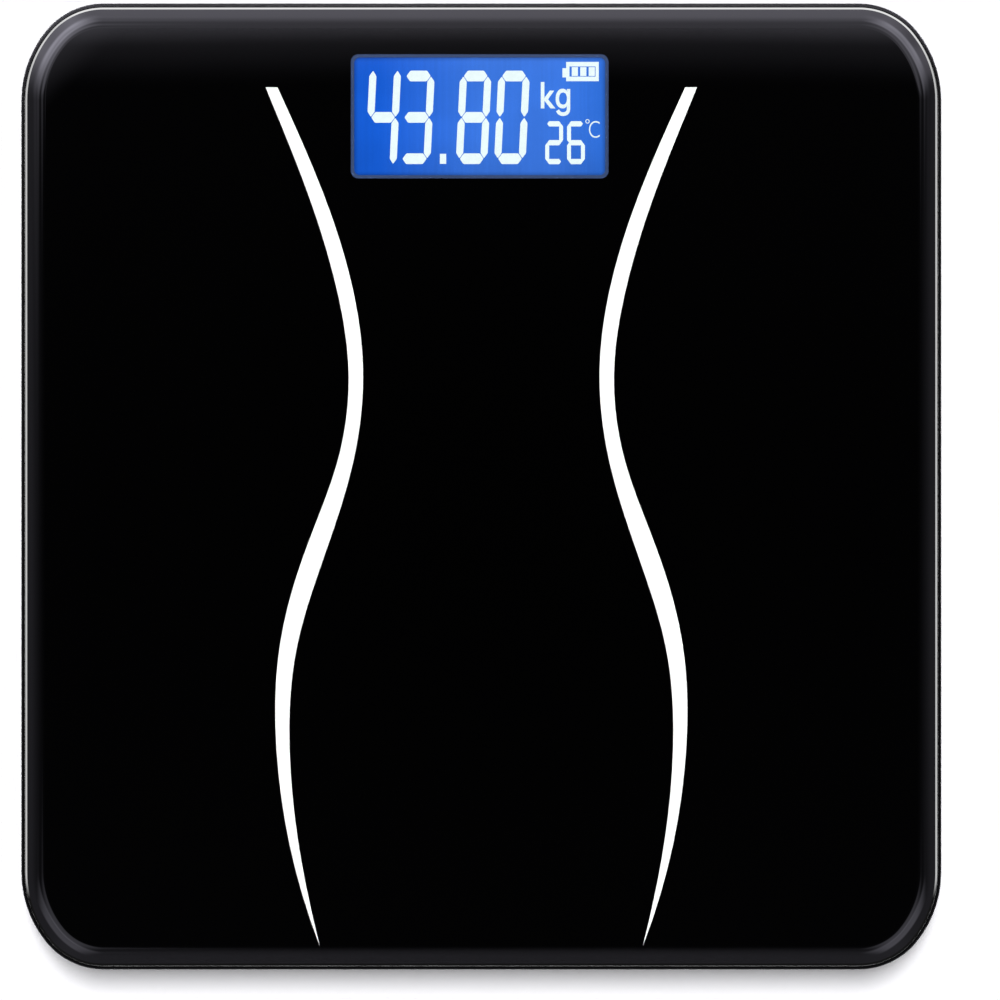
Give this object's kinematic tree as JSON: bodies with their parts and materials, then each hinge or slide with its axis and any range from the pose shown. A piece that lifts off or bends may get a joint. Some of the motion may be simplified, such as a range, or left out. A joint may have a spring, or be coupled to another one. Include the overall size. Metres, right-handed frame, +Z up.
{
  "type": "digital bathroom scale",
  "caption": "Low square glass bathroom scale with rounded corners, a lit blue display at the back edge, waist-shaped stripes and sprung weighing feet under a moulded tray.",
  "frame": {"origin": "on the floor, under the middle of the part", "axes": "+Z up out of the glass, +Y towards the display end, +X to the right of a person who stands on it facing the display"},
  "size_m": [0.28, 0.294, 0.024],
  "materials": {
    "clear_glass": "polished",
    "black_print": "gloss",
    "white_print": "gloss",
    "foam_tape": "matte",
    "black_moulding": "satin",
    "grey_moulding": "satin",
    "blue_display": "gloss",
    "light_guide": "satin",
    "lamp": "gloss",
    "contact_rubber": "matte",
    "board": "satin",
    "screw_steel": "satin",
    "resin": "gloss",
    "bead": "gloss",
    "grey_key": "satin",
    "switch_body": "satin",
    "switch_stem": "satin",
    "battery_can": "gloss",
    "contact_metal": "gloss",
    "lead_cover": "satin",
    "wire_cover": "satin",
    "cell_steel": "satin",
    "gauge_foil": "gloss",
    "retainer": "satin",
    "foot_moulding": "satin",
    "pad_rubber": "matte",
    "nut_steel": "satin"
  },
  "bodies": {
    "platform": {"backlight_lamps": "lamp", "backlight_panel": "light_guide", "base_tray": "black_moulding", "batteries": "battery_can", "battery_contacts": "contact_metal", "battery_leads": "lead_cover", "board_screws": "screw_steel", "bonding_tape": "foam_tape", "cell_retainers": "retainer", "cell_wires": "wire_cover", "circuit_board": "board", "contact_strip": "contact_rubber", "controller_chip": "resin", "glass_platform": "clear_glass", "lcd_frame": "grey_moulding", "lcd_panel": "blue_display", "load_cell_bl": "cell_steel", "load_cell_br": "cell_steel", "load_cell_fl": "cell_steel", "load_cell_fr": "cell_steel", "print_film": "black_print", "retainer_screws": "screw_steel", "strain_gauges": "gauge_foil", "switch_housing": "switch_body", "thermistor": "bead", "waist_stripes": "white_print"},
    "front_left_foot": {"foot_fl": "foot_moulding", "foot_pad_fl": "pad_rubber", "foot_nut_fl": "nut_steel"},
    "front_right_foot": {"foot_fr": "foot_moulding", "foot_pad_fr": "pad_rubber", "foot_nut_fr": "nut_steel"},
    "back_left_foot": {"foot_bl": "foot_moulding", "foot_pad_bl": "pad_rubber", "foot_nut_bl": "nut_steel"},
    "back_right_foot": {"foot_br": "foot_moulding", "foot_pad_br": "pad_rubber", "foot_nut_br": "nut_steel"},
    "button": {"unit_button": "grey_key", "switch_plunger": "switch_stem"},
    "door": {"battery_door": "black_moulding"}
  },
  "joints": [
    {"name": "front_left_foot_press", "type": "slide", "parent": "platform", "child": "front_left_foot", "axis": [0, 0, 1], "range_m": [0, 0.0004], "stiffness_N_per_m": 3000, "springref_m": -0.002, "deforming": ["load_cell_fl"]},
    {"name": "front_right_foot_press", "type": "slide", "parent": "platform", "child": "front_right_foot", "axis": [0, 0, 1], "range_m": [0, 0.0004], "stiffness_N_per_m": 3000, "springref_m": -0.002, "deforming": ["load_cell_fr"]},
    {"name": "back_left_foot_press", "type": "slide", "parent": "platform", "child": "back_left_foot", "axis": [0, 0, 1], "range_m": [0, 0.0004], "stiffness_N_per_m": 3000, "springref_m": -0.002, "deforming": ["load_cell_bl"]},
    {"name": "back_right_foot_press", "type": "slide", "parent": "platform", "child": "back_right_foot", "axis": [0, 0, 1], "range_m": [0, 0.0004], "stiffness_N_per_m": 3000, "springref_m": -0.002, "deforming": ["load_cell_br"]},
    {"name": "unit_button_press", "type": "slide", "parent": "platform", "child": "button", "axis": [0, 0, 1], "range_m": [0, 0.0005], "stiffness_N_per_m": 3000},
    {"name": "battery_door_swing", "type": "hinge", "parent": "platform", "child": "door", "pos_m": [-0.03265, 0.048, 0.004], "axis": [0, 1, 0], "range_deg": [0, 80]}
  ]
}
